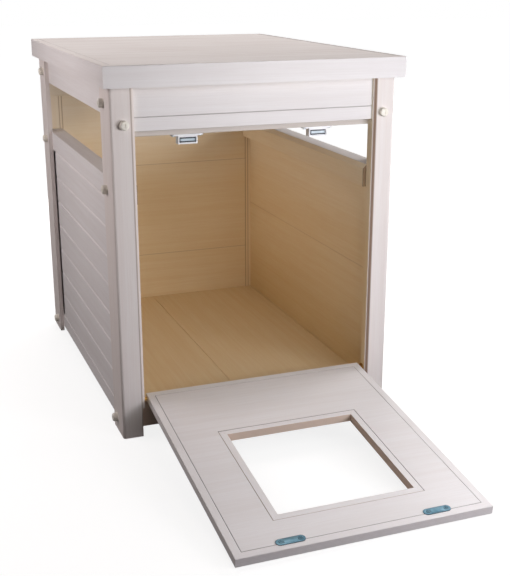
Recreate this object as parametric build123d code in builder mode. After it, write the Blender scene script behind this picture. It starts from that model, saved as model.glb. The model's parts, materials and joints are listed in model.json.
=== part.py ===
"""Litter box table: a bolted cabinet with a drop-down front door that has a square entrance.

Millimetres. +Z is up, the door faces -Y, and the origin lies on the floor at the centre of the
box around the table with its door open. The door is modelled open, resting on the floor.
"""
import os
from math import asin, atan2, cos, degrees, hypot, sin

from build123d import *

os.makedirs("parts", exist_ok=True)

# Whole table
table_height = 560.0
post_span_x = 442.0
post_span_y = 586.0
top_thickness = 31.0
side_overhang = 10.0
front_overhang = 14.0
rear_overhang = 12.0
edge_ease = 1.0
glue_gap = 0.2
round_sides = 12

# Corner posts, an L section of a stile and a side flange
stile_width = 35.0
stile_thickness = 18.0
flange_thickness = 7.0
flange_depth = 60.0
post_corner_radius = 4.0
stile_bevel_width = 4.0
stile_bevel_depth = 2.0
foot_relief_height = 46.0

# Wall boards and rails
wall_bottom = 9.0
bottom_rail_height = 25.0
sill_rail_height = 35.0
top_rail_height = 45.0
window_height = 90.0
side_board_thickness = 17.0
side_rail_thickness = 25.0
sill_rail_thickness = 33.0
sill_inner_bevel = 7.0
back_board_thickness = 14.0
lower_board_strip_count = 4
upper_board_strip_count = 3
back_lower_strip_count = 2
back_middle_strip_count = 4
vee_depth = 2.0
vee_half_width = 2.0
tongue_height = 5.0
tongue_thickness = 4.0
tongue_offset = 10.0
back_tongue_offset = 5.0
end_rebate_depth = 8.0
end_slot_width = 18.0
back_end_tongue = 7.0

# Front frame
header_height = 63.0
header_recess = 6.0
header_groove_drop = 43.0
header_groove_depth = 3.0
header_groove_width = 1.4
tie_rail_drop = 9.0
tie_rail_thickness = 16.0
front_rail_bottom = 8.0
front_rail_top = 50.0

# Floor
floor_top = 36.0
floor_thickness = 15.0
floor_seam_x = -20.0
cleat_width = 20.0

# Top
top_panel_thickness = 16.0
top_trim_web = 3.5
top_trim_lip = 12.0
top_trim_lip_thickness = 2.5
top_edge_radius = 2.0
trim_line = 0.6
batten_width = 57.0
dowel_diameter = 8.0
dowel_depth = 12.0

# Connecting bolts
bolt_head_diameter = 13.5
bolt_head_height = 7.7
bolt_head_round = 2.2
bolt_slot_length = 6.4
bolt_slot_width = 2.4
bolt_slot_depth = 1.6
bolt_shank_diameter = 8.0
bolt_grip_in_rail = 13.0
bolt_hole_clearance = 0.1
bolt_head_sides = 24
side_bolt_inset = 40.0
stile_bolt_inset = 19.5
top_rail_bolt_drop = 25.0
sill_rail_bolt_drop = 14.0
bottom_rail_bolt_rise = 12.0
tie_rail_bolt_drop = 7.0

# Door
door_thickness = 12.5
door_side_gap = 6.0
door_head_gap = 3.0
door_stop_gap = 0.3
pivot_height = 57.0
pivot_inset = 6.0
trim_lip = 11.0
trim_lip_thickness = 1.5
trim_web = 2.0
cutout_width = 197.0
cutout_length = 197.0
cutout_margin = 68.0
cutout_lip = 10.0

# Hinge
pin_diameter = 5.0
pin_in_door = 16.0
pin_clearance = 0.05
bush_diameter = 9.0
bush_length = 10.0
bush_flange_diameter = 13.0
bush_flange_thickness = 1.5
bush_clearance = 0.02

# Magnetic catches and strike plates
catch_offset_x = 103.0
catch_body_width = 30.0
catch_body_depth = 12.0
catch_height = 14.4
catch_ear_span = 50.0
catch_ear_thickness = 2.4
catch_set_back = 1.7
pole_width = 25.0
pole_thickness = 1.2
pole_depth = 9.0
pole_proud = 0.3
magnet_width = 22.0
magnet_height = 5.0
catch_wall = 2.2
catch_screw_diameter = 3.0
catch_screw_length = 12.0
catch_screw_head_diameter = 5.6
catch_screw_head_height = 1.6
strike_length = 40.0
strike_width = 12.0
strike_thickness = 1.2
strike_margin = 14.0
strike_screw_spacing = 26.0
strike_screw_diameter = 3.0
strike_screw_head_diameter = 5.4
strike_screw_length = 8.0
screw_clearance = 0.1

# Heights and diameters that follow from these sizes
bolt_hole_diameter = bolt_shank_diameter + 2 * bolt_hole_clearance
post_height = table_height - top_thickness
top_rail_bottom = post_height - top_rail_height
sill_top = top_rail_bottom - window_height
sill_bottom = sill_top - sill_rail_height
bottom_rail_top = wall_bottom + bottom_rail_height
strip_count = lower_board_strip_count + upper_board_strip_count
strip_pitch = (sill_bottom - bottom_rail_top) / strip_count
header_bottom = post_height - header_height
tie_rail_bottom = header_bottom - tie_rail_drop
tie_rail_top = top_rail_bottom - glue_gap
batten_top = table_height - top_panel_thickness
floor_bottom = floor_top - floor_thickness

# The door, its pivot and its slope when the free edge lies on the floor
half_span_x = post_span_x / 2
doorway_half = half_span_x - stile_width
door_width = 2 * (doorway_half - door_side_gap)
half_door = door_thickness / 2
door_length = header_bottom - door_head_gap - pivot_height + pivot_inset
pivot_from_front = stile_thickness - door_stop_gap - half_door
reach_to_round = door_length - pivot_inset - edge_ease
round_to_middle = half_door - edge_ease
slope = asin((pivot_height - edge_ease) / hypot(reach_to_round, round_to_middle))
slope = slope - atan2(round_to_middle, reach_to_round)
door_reach = reach_to_round * cos(slope) + round_to_middle * sin(slope) + edge_ease - pivot_from_front

# Depths, with the box around the open table centred on the origin
front_y = (door_reach - post_span_y - rear_overhang) / 2
rear_y = front_y + post_span_y
middle_y = (front_y + rear_y) / 2
inner_front_y = front_y + stile_thickness
inner_rear_y = rear_y - stile_thickness
wall_outer_x = half_span_x - flange_thickness
board_inner_x = wall_outer_x - side_board_thickness
back_outer_y = inner_rear_y + back_board_thickness
pivot_y = front_y + pivot_from_front
top_front_y = front_y - front_overhang
top_rear_y = rear_y + rear_overhang
top_middle_y = (top_front_y + top_rear_y) / 2
half_top_x = half_span_x + side_overhang
half_top_y = (top_rear_y - top_front_y) / 2

SIDES = {"left": -1, "right": 1}
ENDS = {"front": -1, "rear": 1}


def save(piece, label):
    """Label a finished piece and write its STEP file."""
    piece.label = label
    export_step(piece, f"parts/{label}.step")


def bolt_heights():
    """Heights of the bolts on a post's side face, into the top, sill and bottom rails."""
    return (
        post_height - top_rail_bolt_drop,
        sill_top - sill_rail_bolt_drop,
        wall_bottom + bottom_rail_bolt_rise,
    )


def tie_bolt_height():
    """Height of the bolt through a stile into the tie rail behind it."""
    return tie_rail_top - tie_rail_bolt_drop


def post_y(end, inset):
    """Y of a point that lies a distance inwards from the front or rear face."""
    return front_y + inset if end < 0 else rear_y - inset


def round_bar(diameter, length):
    """Bar of small round stock along Z, centred on the origin and drawn with few flats, as it repeats."""
    with BuildPart() as bar:
        with BuildSketch(Plane.XY.offset(-length / 2)):
            RegularPolygon(diameter / 2, round_sides)
        extrude(amount=length)
    return bar.part


# Corner posts
def corner_post(side, end):
    """L-section post, with its bolt holes, dowel hole and hinge or board groove.

    The bevelled edge of a front stile stops above the foot, clear of the turning door.
    """
    def corner(across, along):
        return (side * (half_span_x - across), post_y(end, along))

    section = [
        corner(0, 0),
        corner(stile_width - stile_bevel_width, 0),
        corner(stile_width, stile_bevel_depth),
        corner(stile_width, stile_thickness),
        corner(flange_thickness, stile_thickness),
        corner(flange_thickness, flange_depth),
        corner(0, flange_depth),
    ]
    bolt_hole = round_bar(bolt_hole_diameter, 3 * stile_thickness)
    dowel_hole = round_bar(dowel_diameter, 2 * dowel_depth)
    with BuildPart() as post:
        with BuildSketch() as outline:
            with BuildLine():
                Polyline(*section, close=True)
            make_face()
            outer_corner = outline.vertices().sort_by_distance((*section[0], 0))[0]
            fillet(outer_corner, post_corner_radius)
        extrude(amount=post_height)
        side_bolts = [
            (side * half_span_x, post_y(end, side_bolt_inset), height) for height in bolt_heights()
        ]
        with Locations(*side_bolts):
            add(bolt_hole, rotation=(0, 90, 0), mode=Mode.SUBTRACT)
        with Locations((*corner(stile_bolt_inset, 0), tie_bolt_height())):
            add(bolt_hole, rotation=(90, 0, 0), mode=Mode.SUBTRACT)
        with Locations((*corner(stile_bolt_inset, stile_thickness / 2), post_height)):
            add(dowel_hole, mode=Mode.SUBTRACT)
        if end < 0:
            with Locations((side * doorway_half, pivot_y, pivot_height)):
                Cylinder(
                    bush_diameter / 2 + bush_clearance,
                    2 * (bush_length + bush_clearance),
                    rotation=(0, 90, 0),
                    mode=Mode.SUBTRACT,
                )
            with Locations((side * doorway_half, post_y(end, stile_thickness / 2), 0)):
                Box(
                    2 * stile_bevel_width,
                    2 * stile_thickness,
                    foot_relief_height,
                    align=(Align.CENTER, Align.CENTER, Align.MIN),
                    mode=Mode.SUBTRACT,
                )
        else:
            groove_y = back_outer_y - back_tongue_offset - tongue_thickness / 2
            with Locations((side * doorway_half, groove_y, wall_bottom)):
                Box(
                    2 * (back_end_tongue + glue_gap),
                    tongue_thickness + glue_gap,
                    post_height,
                    align=(Align.CENTER, Align.CENTER, Align.MIN),
                    mode=Mode.SUBTRACT,
                )
    return post.part


for side_name, side in SIDES.items():
    for end_name, end in ENDS.items():
        save(corner_post(side, end), f"post_{end_name}_{side_name}")


# Wall boards and rails
def board_outline(
    low, high, thickness, offset, vee_below=True, vee_above=True, socket=True, tongue=True, inner_bevel=0.0
):
    """Section of a wall board: outer face with V grooves at u = 0, tongue above and socket below."""
    near = offset
    far = offset + tongue_thickness
    points = [(vee_depth, low), (0, low + vee_half_width)] if vee_below else [(0, low)]
    groove = low + strip_pitch
    while groove < high - strip_pitch / 2 and vee_below:
        points += [(0, groove - vee_half_width), (vee_depth, groove), (0, groove + vee_half_width)]
        groove += strip_pitch
    points += [(0, high - vee_half_width), (vee_depth, high)] if vee_above else [(0, high)]
    if tongue:
        crest = high + tongue_height
        points += [(near, high), (near, crest), (far, crest), (far, high)]
    if inner_bevel:
        points += [(thickness - inner_bevel, high), (thickness, high - inner_bevel), (thickness, low)]
    else:
        points += [(thickness, high), (thickness, low)]
    if socket:
        roof = low + tongue_height + glue_gap
        points += [(far + glue_gap, low), (far + glue_gap, roof)]
        points += [(near - glue_gap, roof), (near - glue_gap, low)]
    return points


def side_plane(side):
    """Section plane of a side wall: x inwards from the wall's outer face, y up."""
    return Plane(origin=(side * wall_outer_x, middle_y, 0), x_dir=(-side, 0, 0), z_dir=(0, side, 0))


def side_rail(side, outline, bolt_height):
    """Rail between a front and a rear post, drilled for the bolt at each end."""
    bolt_hole = round_bar(bolt_hole_diameter, 2 * (bolt_grip_in_rail + glue_gap))
    with BuildPart() as rail:
        with BuildSketch(side_plane(side)):
            with BuildLine():
                Polyline(*outline, close=True)
            make_face()
        extrude(amount=(inner_rear_y - inner_front_y) / 2, both=True)
        bolt_places = [
            (side * wall_outer_x, post_y(end, side_bolt_inset), bolt_height) for end in ENDS.values()
        ]
        with Locations(*bolt_places):
            add(bolt_hole, rotation=(0, 90, 0), mode=Mode.SUBTRACT)
    return rail.part


def side_board(side, outline, low, high):
    """Grooved board whose ends are rebated, which leaves a slot beside each post flange."""
    rebate_length = flange_depth - stile_thickness + end_slot_width
    with BuildPart() as board:
        with BuildSketch(side_plane(side)):
            with BuildLine():
                Polyline(*outline, close=True)
            make_face()
        extrude(amount=(inner_rear_y - inner_front_y) / 2, both=True)
        rebates = [(side * wall_outer_x, y, (low + high) / 2) for y in (inner_front_y, inner_rear_y)]
        with Locations(*rebates):
            Box(2 * end_rebate_depth, 2 * rebate_length, 2 * (high - low), mode=Mode.SUBTRACT)
    return board.part


board_seam = bottom_rail_top + lower_board_strip_count * strip_pitch
top_bolt, sill_bolt, bottom_bolt = bolt_heights()

for side_name, side in SIDES.items():
    outline = board_outline(
        wall_bottom, bottom_rail_top, side_board_thickness, tongue_offset, vee_below=False, socket=False
    )
    save(side_rail(side, outline, bottom_bolt), f"{side_name}_bottom_rail")
    outline = board_outline(bottom_rail_top, board_seam, side_board_thickness, tongue_offset)
    save(side_board(side, outline, bottom_rail_top, board_seam), f"{side_name}_lower_board")
    outline = board_outline(board_seam, sill_bottom, side_board_thickness, tongue_offset)
    save(side_board(side, outline, board_seam, sill_bottom), f"{side_name}_upper_board")
    outline = board_outline(
        sill_bottom, sill_top, sill_rail_thickness, tongue_offset,
        vee_above=False, tongue=False, inner_bevel=sill_inner_bevel,
    )
    save(side_rail(side, outline, sill_bolt), f"{side_name}_sill_rail")
    outline = board_outline(
        top_rail_bottom, post_height, side_rail_thickness, tongue_offset,
        vee_below=False, vee_above=False, socket=False, tongue=False,
    )
    save(side_rail(side, outline, top_bolt), f"{side_name}_top_rail")


def back_board(outline, low, high):
    """Board of the back wall, with an end tongue in the groove of each rear stile."""
    half_length = doorway_half + back_end_tongue
    plane = Plane(origin=(0, back_outer_y, 0), x_dir=(0, -1, 0), z_dir=(-1, 0, 0))
    inner_depth = back_board_thickness - back_tongue_offset - tongue_thickness
    with BuildPart() as board:
        with BuildSketch(plane):
            with BuildLine():
                Polyline(*outline, close=True)
            make_face()
        extrude(amount=half_length, both=True)
        tongue_cut = 2 * (back_end_tongue + glue_gap)
        for side in SIDES.values():
            with Locations((side * half_length, back_outer_y, (low + high) / 2)):
                Box(tongue_cut, 2 * back_tongue_offset, 2 * (high - low), mode=Mode.SUBTRACT)
            with Locations((side * half_length, inner_rear_y, (low + high) / 2)):
                Box(tongue_cut, 2 * inner_depth, 2 * (high - low), mode=Mode.SUBTRACT)
    return board.part


back_lower_seam = bottom_rail_top + back_lower_strip_count * strip_pitch
back_upper_seam = back_lower_seam + back_middle_strip_count * strip_pitch
back_courses = {
    "back_bottom_rail": (wall_bottom, bottom_rail_top),
    "back_lower_board": (bottom_rail_top, back_lower_seam),
    "back_middle_board": (back_lower_seam, back_upper_seam),
    "back_upper_board": (back_upper_seam, top_rail_bottom),
    "back_top_rail": (top_rail_bottom, post_height),
}
for course, (low, high) in back_courses.items():
    lowest = low == wall_bottom
    highest = high == post_height
    outline = board_outline(
        low, high, back_board_thickness, back_tongue_offset,
        vee_below=not lowest, vee_above=not highest, socket=not lowest, tongue=not highest,
    )
    save(back_board(outline, low, high), course)


# Tie rails behind the stiles, and the header and bottom rail of the front
def tie_rail(end, catch_screw_holes):
    """Rail behind two stiles. The front one also stops the door and carries the catches."""
    rail_y = post_y(end, stile_thickness + tie_rail_thickness / 2)
    half_length = wall_outer_x - glue_gap
    bolt_hole = round_bar(bolt_hole_diameter, 2 * (bolt_grip_in_rail + glue_gap))
    screw_hole = round_bar(catch_screw_diameter, 2 * catch_screw_length)
    with BuildPart() as rail:
        with Locations((0, rail_y, (tie_rail_bottom + tie_rail_top) / 2)):
            Box(2 * half_length, tie_rail_thickness, tie_rail_top - tie_rail_bottom)
        long_edges = rail.edges().filter_by(Axis.X)
        fillet(long_edges, edge_ease)
        bolt_x = half_span_x - stile_bolt_inset
        bolts = [
            (side * bolt_x, post_y(end, stile_thickness), tie_bolt_height()) for side in SIDES.values()
        ]
        with Locations(*bolts):
            add(bolt_hole, rotation=(90, 0, 0), mode=Mode.SUBTRACT)
        if catch_screw_holes:
            with Locations(*catch_screw_holes):
                add(screw_hole, mode=Mode.SUBTRACT)
    return rail.part


catch_front_y = inner_front_y + catch_set_back
catch_middle_y = catch_front_y + catch_body_depth / 2
catch_screw_x = (catch_ear_span + catch_body_width) / 4
catch_screw_places = [
    (side * catch_offset_x + ear * catch_screw_x, catch_middle_y, tie_rail_bottom)
    for side in SIDES.values()
    for ear in SIDES.values()
]
save(tie_rail(-1, catch_screw_places), "stop_rail")
save(tie_rail(1, []), "rear_tie_rail")

with BuildPart() as header:
    header_thickness = stile_thickness - header_recess
    with Locations((0, front_y + header_recess + header_thickness / 2, (header_bottom + post_height) / 2)):
        Box(2 * (doorway_half - glue_gap), header_thickness, header_height)
    front_bottom_edge = header.edges().filter_by(Axis.X).group_by(Axis.Z)[0].sort_by(Axis.Y)[0]
    fillet(front_bottom_edge, edge_ease)
    with BuildSketch(Plane.YZ):
        with Locations((front_y + header_recess, post_height - header_groove_drop)):
            Rectangle(2 * header_groove_depth, header_groove_width)
    extrude(amount=doorway_half, both=True, mode=Mode.SUBTRACT)
save(header.part, "header_board")

with BuildPart() as front_rail:
    front_rail_y = inner_front_y + tie_rail_thickness / 2
    with Locations((0, front_rail_y, (front_rail_bottom + front_rail_top) / 2)):
        Box(2 * (board_inner_x - glue_gap), tie_rail_thickness, front_rail_top - front_rail_bottom)
    fillet(front_rail.edges().filter_by(Axis.X), edge_ease)
save(front_rail.part, "front_bottom_rail")

# Floor boards on their cleats
floor_front_y = inner_front_y + tie_rail_thickness + glue_gap
floor_half = board_inner_x - glue_gap
floor_spans = {
    "floor_board_left": (-floor_half, floor_seam_x - glue_gap / 2),
    "floor_board_right": (floor_seam_x + glue_gap / 2, floor_half),
}
for floor_name, (left_x, right_x) in floor_spans.items():
    with BuildPart() as floor_board:
        with Locations(((left_x + right_x) / 2, (floor_front_y + inner_rear_y) / 2, floor_bottom)):
            Box(
                right_x - left_x,
                inner_rear_y - floor_front_y - glue_gap,
                floor_thickness,
                align=(Align.CENTER, Align.CENTER, Align.MIN),
            )
        chamfer(floor_board.faces().sort_by(Axis.Z)[-1].edges().filter_by(Axis.Y), edge_ease)
    save(floor_board.part, floor_name)

with BuildPart() as cleats:
    cleat_length = inner_rear_y - floor_front_y - 2 * glue_gap
    cleat_places = [
        (side * (board_inner_x - cleat_width / 2), (floor_front_y + inner_rear_y) / 2, wall_bottom)
        for side in SIDES.values()
    ]
    with Locations(*cleat_places):
        Box(
            cleat_width,
            cleat_length,
            floor_bottom - wall_bottom,
            align=(Align.CENTER, Align.CENTER, Align.MIN),
        )
save(cleats.part, "floor_cleats")


# Frames with mitred corners, for the top, the door and its cut-out
def mitre_sector(half_x, half_y, depth, edge):
    """Plan of one side of a mitred frame, from its outer corners in to a depth."""
    inner_x = half_x - depth
    inner_y = half_y - depth
    corners = {
        "front": [(-half_x, -half_y), (half_x, -half_y), (inner_x, -inner_y), (-inner_x, -inner_y)],
        "rear": [(-half_x, half_y), (half_x, half_y), (inner_x, inner_y), (-inner_x, inner_y)],
        "left": [(-half_x, -half_y), (-half_x, half_y), (-inner_x, inner_y), (-inner_x, -inner_y)],
        "right": [(half_x, -half_y), (half_x, half_y), (inner_x, inner_y), (inner_x, -inner_y)],
    }
    return corners[edge]


FRAME_EDGES = ("front", "rear", "left", "right")


def edge_middle(half_x, half_y, edge):
    """Middle of one outer edge of a frame, in the frame's plane."""
    middles = {"front": (0, -half_y), "rear": (0, half_y), "left": (-half_x, 0), "right": (half_x, 0)}
    return middles[edge]


def top_trim(edge):
    """Edge trim of the top: a deep web with a lip over the panel's rim, mitred at its ends."""
    base = Plane(origin=(0, top_middle_y, post_height))
    outer_middle = Vector(*edge_middle(half_top_x, half_top_y, edge), top_thickness / 2)
    with BuildPart() as trim:
        with BuildSketch(base):
            Polygon(*mitre_sector(half_top_x, half_top_y, top_trim_lip, edge), align=None)
        extrude(amount=top_thickness)
        outer_face = trim.faces().sort_by_distance(base.from_local_coords(outer_middle))[0]
        fillet(outer_face.edges().sort_by(Axis.Z)[-1], top_edge_radius)
        with BuildSketch(base):
            Rectangle(2 * (half_top_x - top_trim_web), 2 * (half_top_y - top_trim_web))
        extrude(amount=top_thickness - top_trim_lip_thickness, mode=Mode.SUBTRACT)
    return trim.part


for edge in FRAME_EDGES:
    save(top_trim(edge), f"top_trim_{edge}")

with BuildPart() as top_panel:
    rim_inset = top_trim_web + glue_gap
    field_inset = top_trim_lip + trim_line
    rim_top = table_height - top_trim_lip_thickness - glue_gap
    with BuildSketch(Plane(origin=(0, top_middle_y, batten_top))):
        Rectangle(2 * (half_top_x - rim_inset), 2 * (half_top_y - rim_inset))
    extrude(amount=rim_top - batten_top)
    with BuildSketch(Plane(origin=(0, top_middle_y, batten_top))):
        Rectangle(2 * (half_top_x - field_inset), 2 * (half_top_y - field_inset))
    extrude(amount=top_panel_thickness)
save(top_panel.part, "top_panel")

dowel_places = [
    (side * (half_span_x - stile_bolt_inset), post_y(end, stile_thickness / 2), post_height)
    for side in SIDES.values()
    for end in ENDS.values()
]

dowel_hole = round_bar(dowel_diameter, 2 * dowel_depth)
dowel = round_bar(dowel_diameter - 2 * bush_clearance, 2 * (dowel_depth - glue_gap))

with BuildPart() as battens:
    batten_height = batten_top - post_height
    side_battens = [
        (side * (half_span_x - batten_width / 2), middle_y, post_height) for side in SIDES.values()
    ]
    with Locations(*side_battens):
        Box(batten_width, post_span_y, batten_height, align=(Align.CENTER, Align.CENTER, Align.MIN))
    cross_length = 2 * (half_span_x - batten_width - glue_gap)
    cross_battens = [(0, post_y(end, batten_width / 2), post_height) for end in ENDS.values()]
    with Locations(*cross_battens):
        Box(cross_length, batten_width, batten_height, align=(Align.CENTER, Align.CENTER, Align.MIN))
    with Locations(*dowel_places):
        add(dowel_hole, mode=Mode.SUBTRACT)
save(battens.part, "top_battens")

with BuildPart() as dowels:
    with Locations(*dowel_places):
        add(dowel)
save(dowels.part, "top_dowels")


# Connecting bolts, with a coin slot in a rounded head
def connecting_bolt(grip):
    """Bolt along +Z, with the underside of its head at the origin and its shank below."""
    with BuildPart() as bolt:
        with BuildSketch():
            RegularPolygon(bolt_head_diameter / 2, bolt_head_sides)
        extrude(amount=bolt_head_height)
        crown = bolt.faces().sort_by(Axis.Z)[-1].edges()
        chamfer(crown, bolt_head_round)
        with Locations((0, 0, bolt_head_height)):
            Box(bolt_slot_length, bolt_slot_width, 2 * bolt_slot_depth, mode=Mode.SUBTRACT)
        with BuildSketch():
            RegularPolygon(bolt_shank_diameter / 2, round_sides)
        extrude(amount=-grip)
    return bolt.part


side_bolt = connecting_bolt(flange_thickness + bolt_grip_in_rail)
for side_name, side in SIDES.items():
    with BuildPart() as side_bolts:
        for height in bolt_heights():
            for end in ENDS.values():
                seat = (side * half_span_x, post_y(end, side_bolt_inset), height)
                with Locations(Location(seat, (0, 90 * side, 0))):
                    add(side_bolt)
    save(side_bolts.part, f"{side_name}_side_bolts")

stile_bolt = connecting_bolt(stile_thickness + bolt_grip_in_rail)
for end_name, end in ENDS.items():
    with BuildPart() as stile_bolts:
        for side in SIDES.values():
            seat = (side * (half_span_x - stile_bolt_inset), post_y(end, 0), tie_bolt_height())
            with Locations(Location(seat, (-90 * end, 0, 90))):
                add(stile_bolt)
    save(stile_bolts.part, f"{end_name}_stile_bolts")

# Magnetic catches under the stop rail
catch_bottom = tie_rail_bottom - catch_height
catch_middle_z = catch_bottom + (catch_height - catch_ear_thickness) / 2

ear_hole = round_bar(catch_screw_diameter + 2 * screw_clearance, 3 * catch_ear_thickness)

for side_name, side in SIDES.items():
    catch_x = side * catch_offset_x
    with BuildPart() as housing:
        with Locations((catch_x, catch_middle_y, tie_rail_bottom)):
            Box(
                catch_body_width, catch_body_depth, catch_height,
                align=(Align.CENTER, Align.CENTER, Align.MAX),
            )
        fillet(housing.edges().filter_by(Axis.Z), edge_ease)
        with BuildSketch(Plane(origin=(catch_x, catch_middle_y, tie_rail_bottom))):
            SlotOverall(catch_ear_span, catch_body_depth)
        extrude(amount=-catch_ear_thickness)
        with Locations((catch_x, catch_front_y, catch_middle_z)):
            Box(
                pole_width + 2 * glue_gap,
                2 * (pole_depth + glue_gap),
                catch_height - catch_ear_thickness - 2 * catch_wall,
                mode=Mode.SUBTRACT,
            )
        ear_holes = [place for place in catch_screw_places if place[0] * side > 0]
        with Locations(*ear_holes):
            add(ear_hole, mode=Mode.SUBTRACT)
    save(housing.part, f"{side_name}_catch_housing")

with BuildPart() as magnets:
    magnet_places = [
        (side * catch_offset_x, catch_front_y + pole_depth / 2, catch_middle_z) for side in SIDES.values()
    ]
    with Locations(*magnet_places):
        Box(magnet_width, pole_depth - pole_proud, magnet_height)
save(magnets.part, "catch_magnets")

with BuildPart() as poles:
    pole_places = [
        (
            side * catch_offset_x,
            catch_front_y - pole_proud,
            catch_middle_z + up * (magnet_height + pole_thickness) / 2,
        )
        for side in SIDES.values()
        for up in (-1, 1)
    ]
    with Locations(*pole_places):
        Box(
            pole_width, pole_depth + pole_proud, pole_thickness,
            align=(Align.CENTER, Align.MIN, Align.CENTER),
        )
save(poles.part, "catch_pole_plates")

with BuildPart() as catch_screws:
    head_plane = Plane.XY.offset(tie_rail_bottom - catch_ear_thickness)
    screw_points = [place[:2] for place in catch_screw_places]
    with BuildSketch(head_plane):
        with Locations(*screw_points):
            RegularPolygon(catch_screw_diameter / 2 - bush_clearance, round_sides)
    extrude(amount=catch_ear_thickness + catch_screw_length - glue_gap)
    with BuildSketch(head_plane):
        with Locations(*screw_points):
            RegularPolygon(catch_screw_head_diameter / 2, round_sides)
    extrude(amount=-catch_screw_head_height)
save(catch_screws.part, "catch_screws")

# Hinge bushes in the front posts
with BuildPart() as bushes:
    for side in SIDES.values():
        with Locations(Location((side * doorway_half, pivot_y, pivot_height), (0, 90 * side, 0))):
            Cylinder(bush_diameter / 2, bush_length, align=(Align.CENTER, Align.CENTER, Align.MIN))
            Cylinder(
                bush_flange_diameter / 2, bush_flange_thickness, align=(Align.CENTER, Align.CENTER, Align.MAX)
            )
            Cylinder(pin_diameter / 2 + pin_clearance, 3 * bush_length, mode=Mode.SUBTRACT)
save(bushes.part, "hinge_bushes")

# Door, on a plane through its pivot that is level with its middle: y runs from the free edge to the hinge
door_plane = Plane(
    origin=(0, pivot_y, pivot_height), x_dir=(1, 0, 0), z_dir=(0, -sin(slope), cos(slope))
)
door_centre = pivot_inset - door_length / 2
frame_plane = Plane(
    origin=door_plane.from_local_coords(Vector(0, door_centre, -half_door)),
    x_dir=door_plane.x_dir,
    z_dir=door_plane.z_dir,
)
half_width = door_width / 2
half_length = door_length / 2
cutout_centre = cutout_margin + cutout_length / 2 - half_length
rim_thickness = door_thickness - 2 * trim_lip_thickness
rim_bottom = trim_lip_thickness
pin_hole_radius = pin_diameter / 2 + bush_clearance


def door_trim(edge):
    """Channel round the door's outer edge, mitred at its ends, with the pin hole in the side ones."""
    outer_middle = Vector(*edge_middle(half_width, half_length, edge), half_door)
    with BuildPart() as trim:
        with BuildSketch(frame_plane):
            Polygon(*mitre_sector(half_width, half_length, trim_lip, edge), align=None)
        extrude(amount=door_thickness)
        outer_face = trim.faces().sort_by_distance(frame_plane.from_local_coords(outer_middle))[0]
        fillet(outer_face.edges().sort_by(SortBy.LENGTH)[-2:], edge_ease)
        with BuildSketch(frame_plane.offset(rim_bottom)):
            Rectangle(door_width - 2 * trim_web, door_length - 2 * trim_web)
        extrude(amount=rim_thickness, mode=Mode.SUBTRACT)
        if edge in ("left", "right"):
            with Locations((0, pivot_y, pivot_height)):
                Cylinder(pin_hole_radius, 2 * door_width, rotation=(0, 90, 0), mode=Mode.SUBTRACT)
    return trim.part


for edge, label in zip(FRAME_EDGES, ("free", "hinge", "left", "right")):
    save(door_trim(edge), f"door_trim_{label}")

cutout_plane = Plane(
    origin=frame_plane.from_local_coords(Vector(0, cutout_centre, 0)),
    x_dir=frame_plane.x_dir,
    z_dir=frame_plane.z_dir,
)
frame_half_x = cutout_width / 2 + cutout_lip
frame_half_y = cutout_length / 2 + cutout_lip


def cutout_trim(edge):
    """Channel that lines the entrance, open outwards and mitred at its ends."""
    with BuildPart() as trim:
        with BuildSketch(cutout_plane):
            Polygon(*mitre_sector(frame_half_x, frame_half_y, cutout_lip, edge), align=None)
        extrude(amount=door_thickness)
        with BuildSketch(cutout_plane.offset(rim_bottom)):
            Rectangle(3 * frame_half_x, 3 * frame_half_y)
            Rectangle(cutout_width + 2 * trim_web, cutout_length + 2 * trim_web, mode=Mode.SUBTRACT)
        extrude(amount=rim_thickness, mode=Mode.SUBTRACT)
    return trim.part


for edge, label in zip(FRAME_EDGES, ("free", "hinge", "left", "right")):
    save(cutout_trim(edge), f"cutout_trim_{label}")

strike_places = [(side * catch_offset_x, strike_margin - half_length) for side in SIDES.values()]
strike_screw_places = [
    (x + end * strike_screw_spacing / 2, y) for x, y in strike_places for end in SIDES.values()
]

with BuildPart() as door_panel:
    with BuildSketch(frame_plane.offset(rim_bottom + glue_gap / 2)):
        Rectangle(door_width - 2 * (trim_web + glue_gap), door_length - 2 * (trim_web + glue_gap))
        with Locations((0, cutout_centre)):
            Rectangle(
                cutout_width + 2 * (trim_web + glue_gap),
                cutout_length + 2 * (trim_web + glue_gap),
                mode=Mode.SUBTRACT,
            )
    extrude(amount=rim_thickness - glue_gap)
    with BuildSketch(frame_plane):
        Rectangle(door_width - 2 * (trim_lip + trim_line), door_length - 2 * (trim_lip + trim_line))
        with Locations((0, cutout_centre)):
            Rectangle(2 * (frame_half_x + trim_line), 2 * (frame_half_y + trim_line), mode=Mode.SUBTRACT)
    extrude(amount=door_thickness)
    pin_mouths = [(side * half_width, pivot_y, pivot_height) for side in SIDES.values()]
    with Locations(*pin_mouths):
        Cylinder(pin_hole_radius, 2 * (pin_in_door + glue_gap), rotation=(0, 90, 0), mode=Mode.SUBTRACT)
    with BuildSketch(frame_plane.offset(door_thickness)):
        with Locations(*strike_screw_places):
            RegularPolygon(strike_screw_diameter / 2, round_sides)
    extrude(amount=-strike_screw_length, mode=Mode.SUBTRACT)
save(door_panel.part, "door_panel")

# Strike plates and their countersunk screws, on the face that meets the catches
plate_plane = frame_plane.offset(door_thickness)

for (side_name, side), place in zip(SIDES.items(), strike_places):
    with BuildPart() as strike:
        with BuildSketch(plate_plane):
            with Locations(place):
                SlotOverall(strike_length, strike_width)
            own_screws = [screw for screw in strike_screw_places if screw[0] * side > 0]
            with Locations(*own_screws):
                RegularPolygon(
                    strike_screw_head_diameter / 2 + screw_clearance, round_sides, mode=Mode.SUBTRACT
                )
        extrude(amount=strike_thickness)
    save(strike.part, f"{side_name}_strike_plate")

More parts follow.
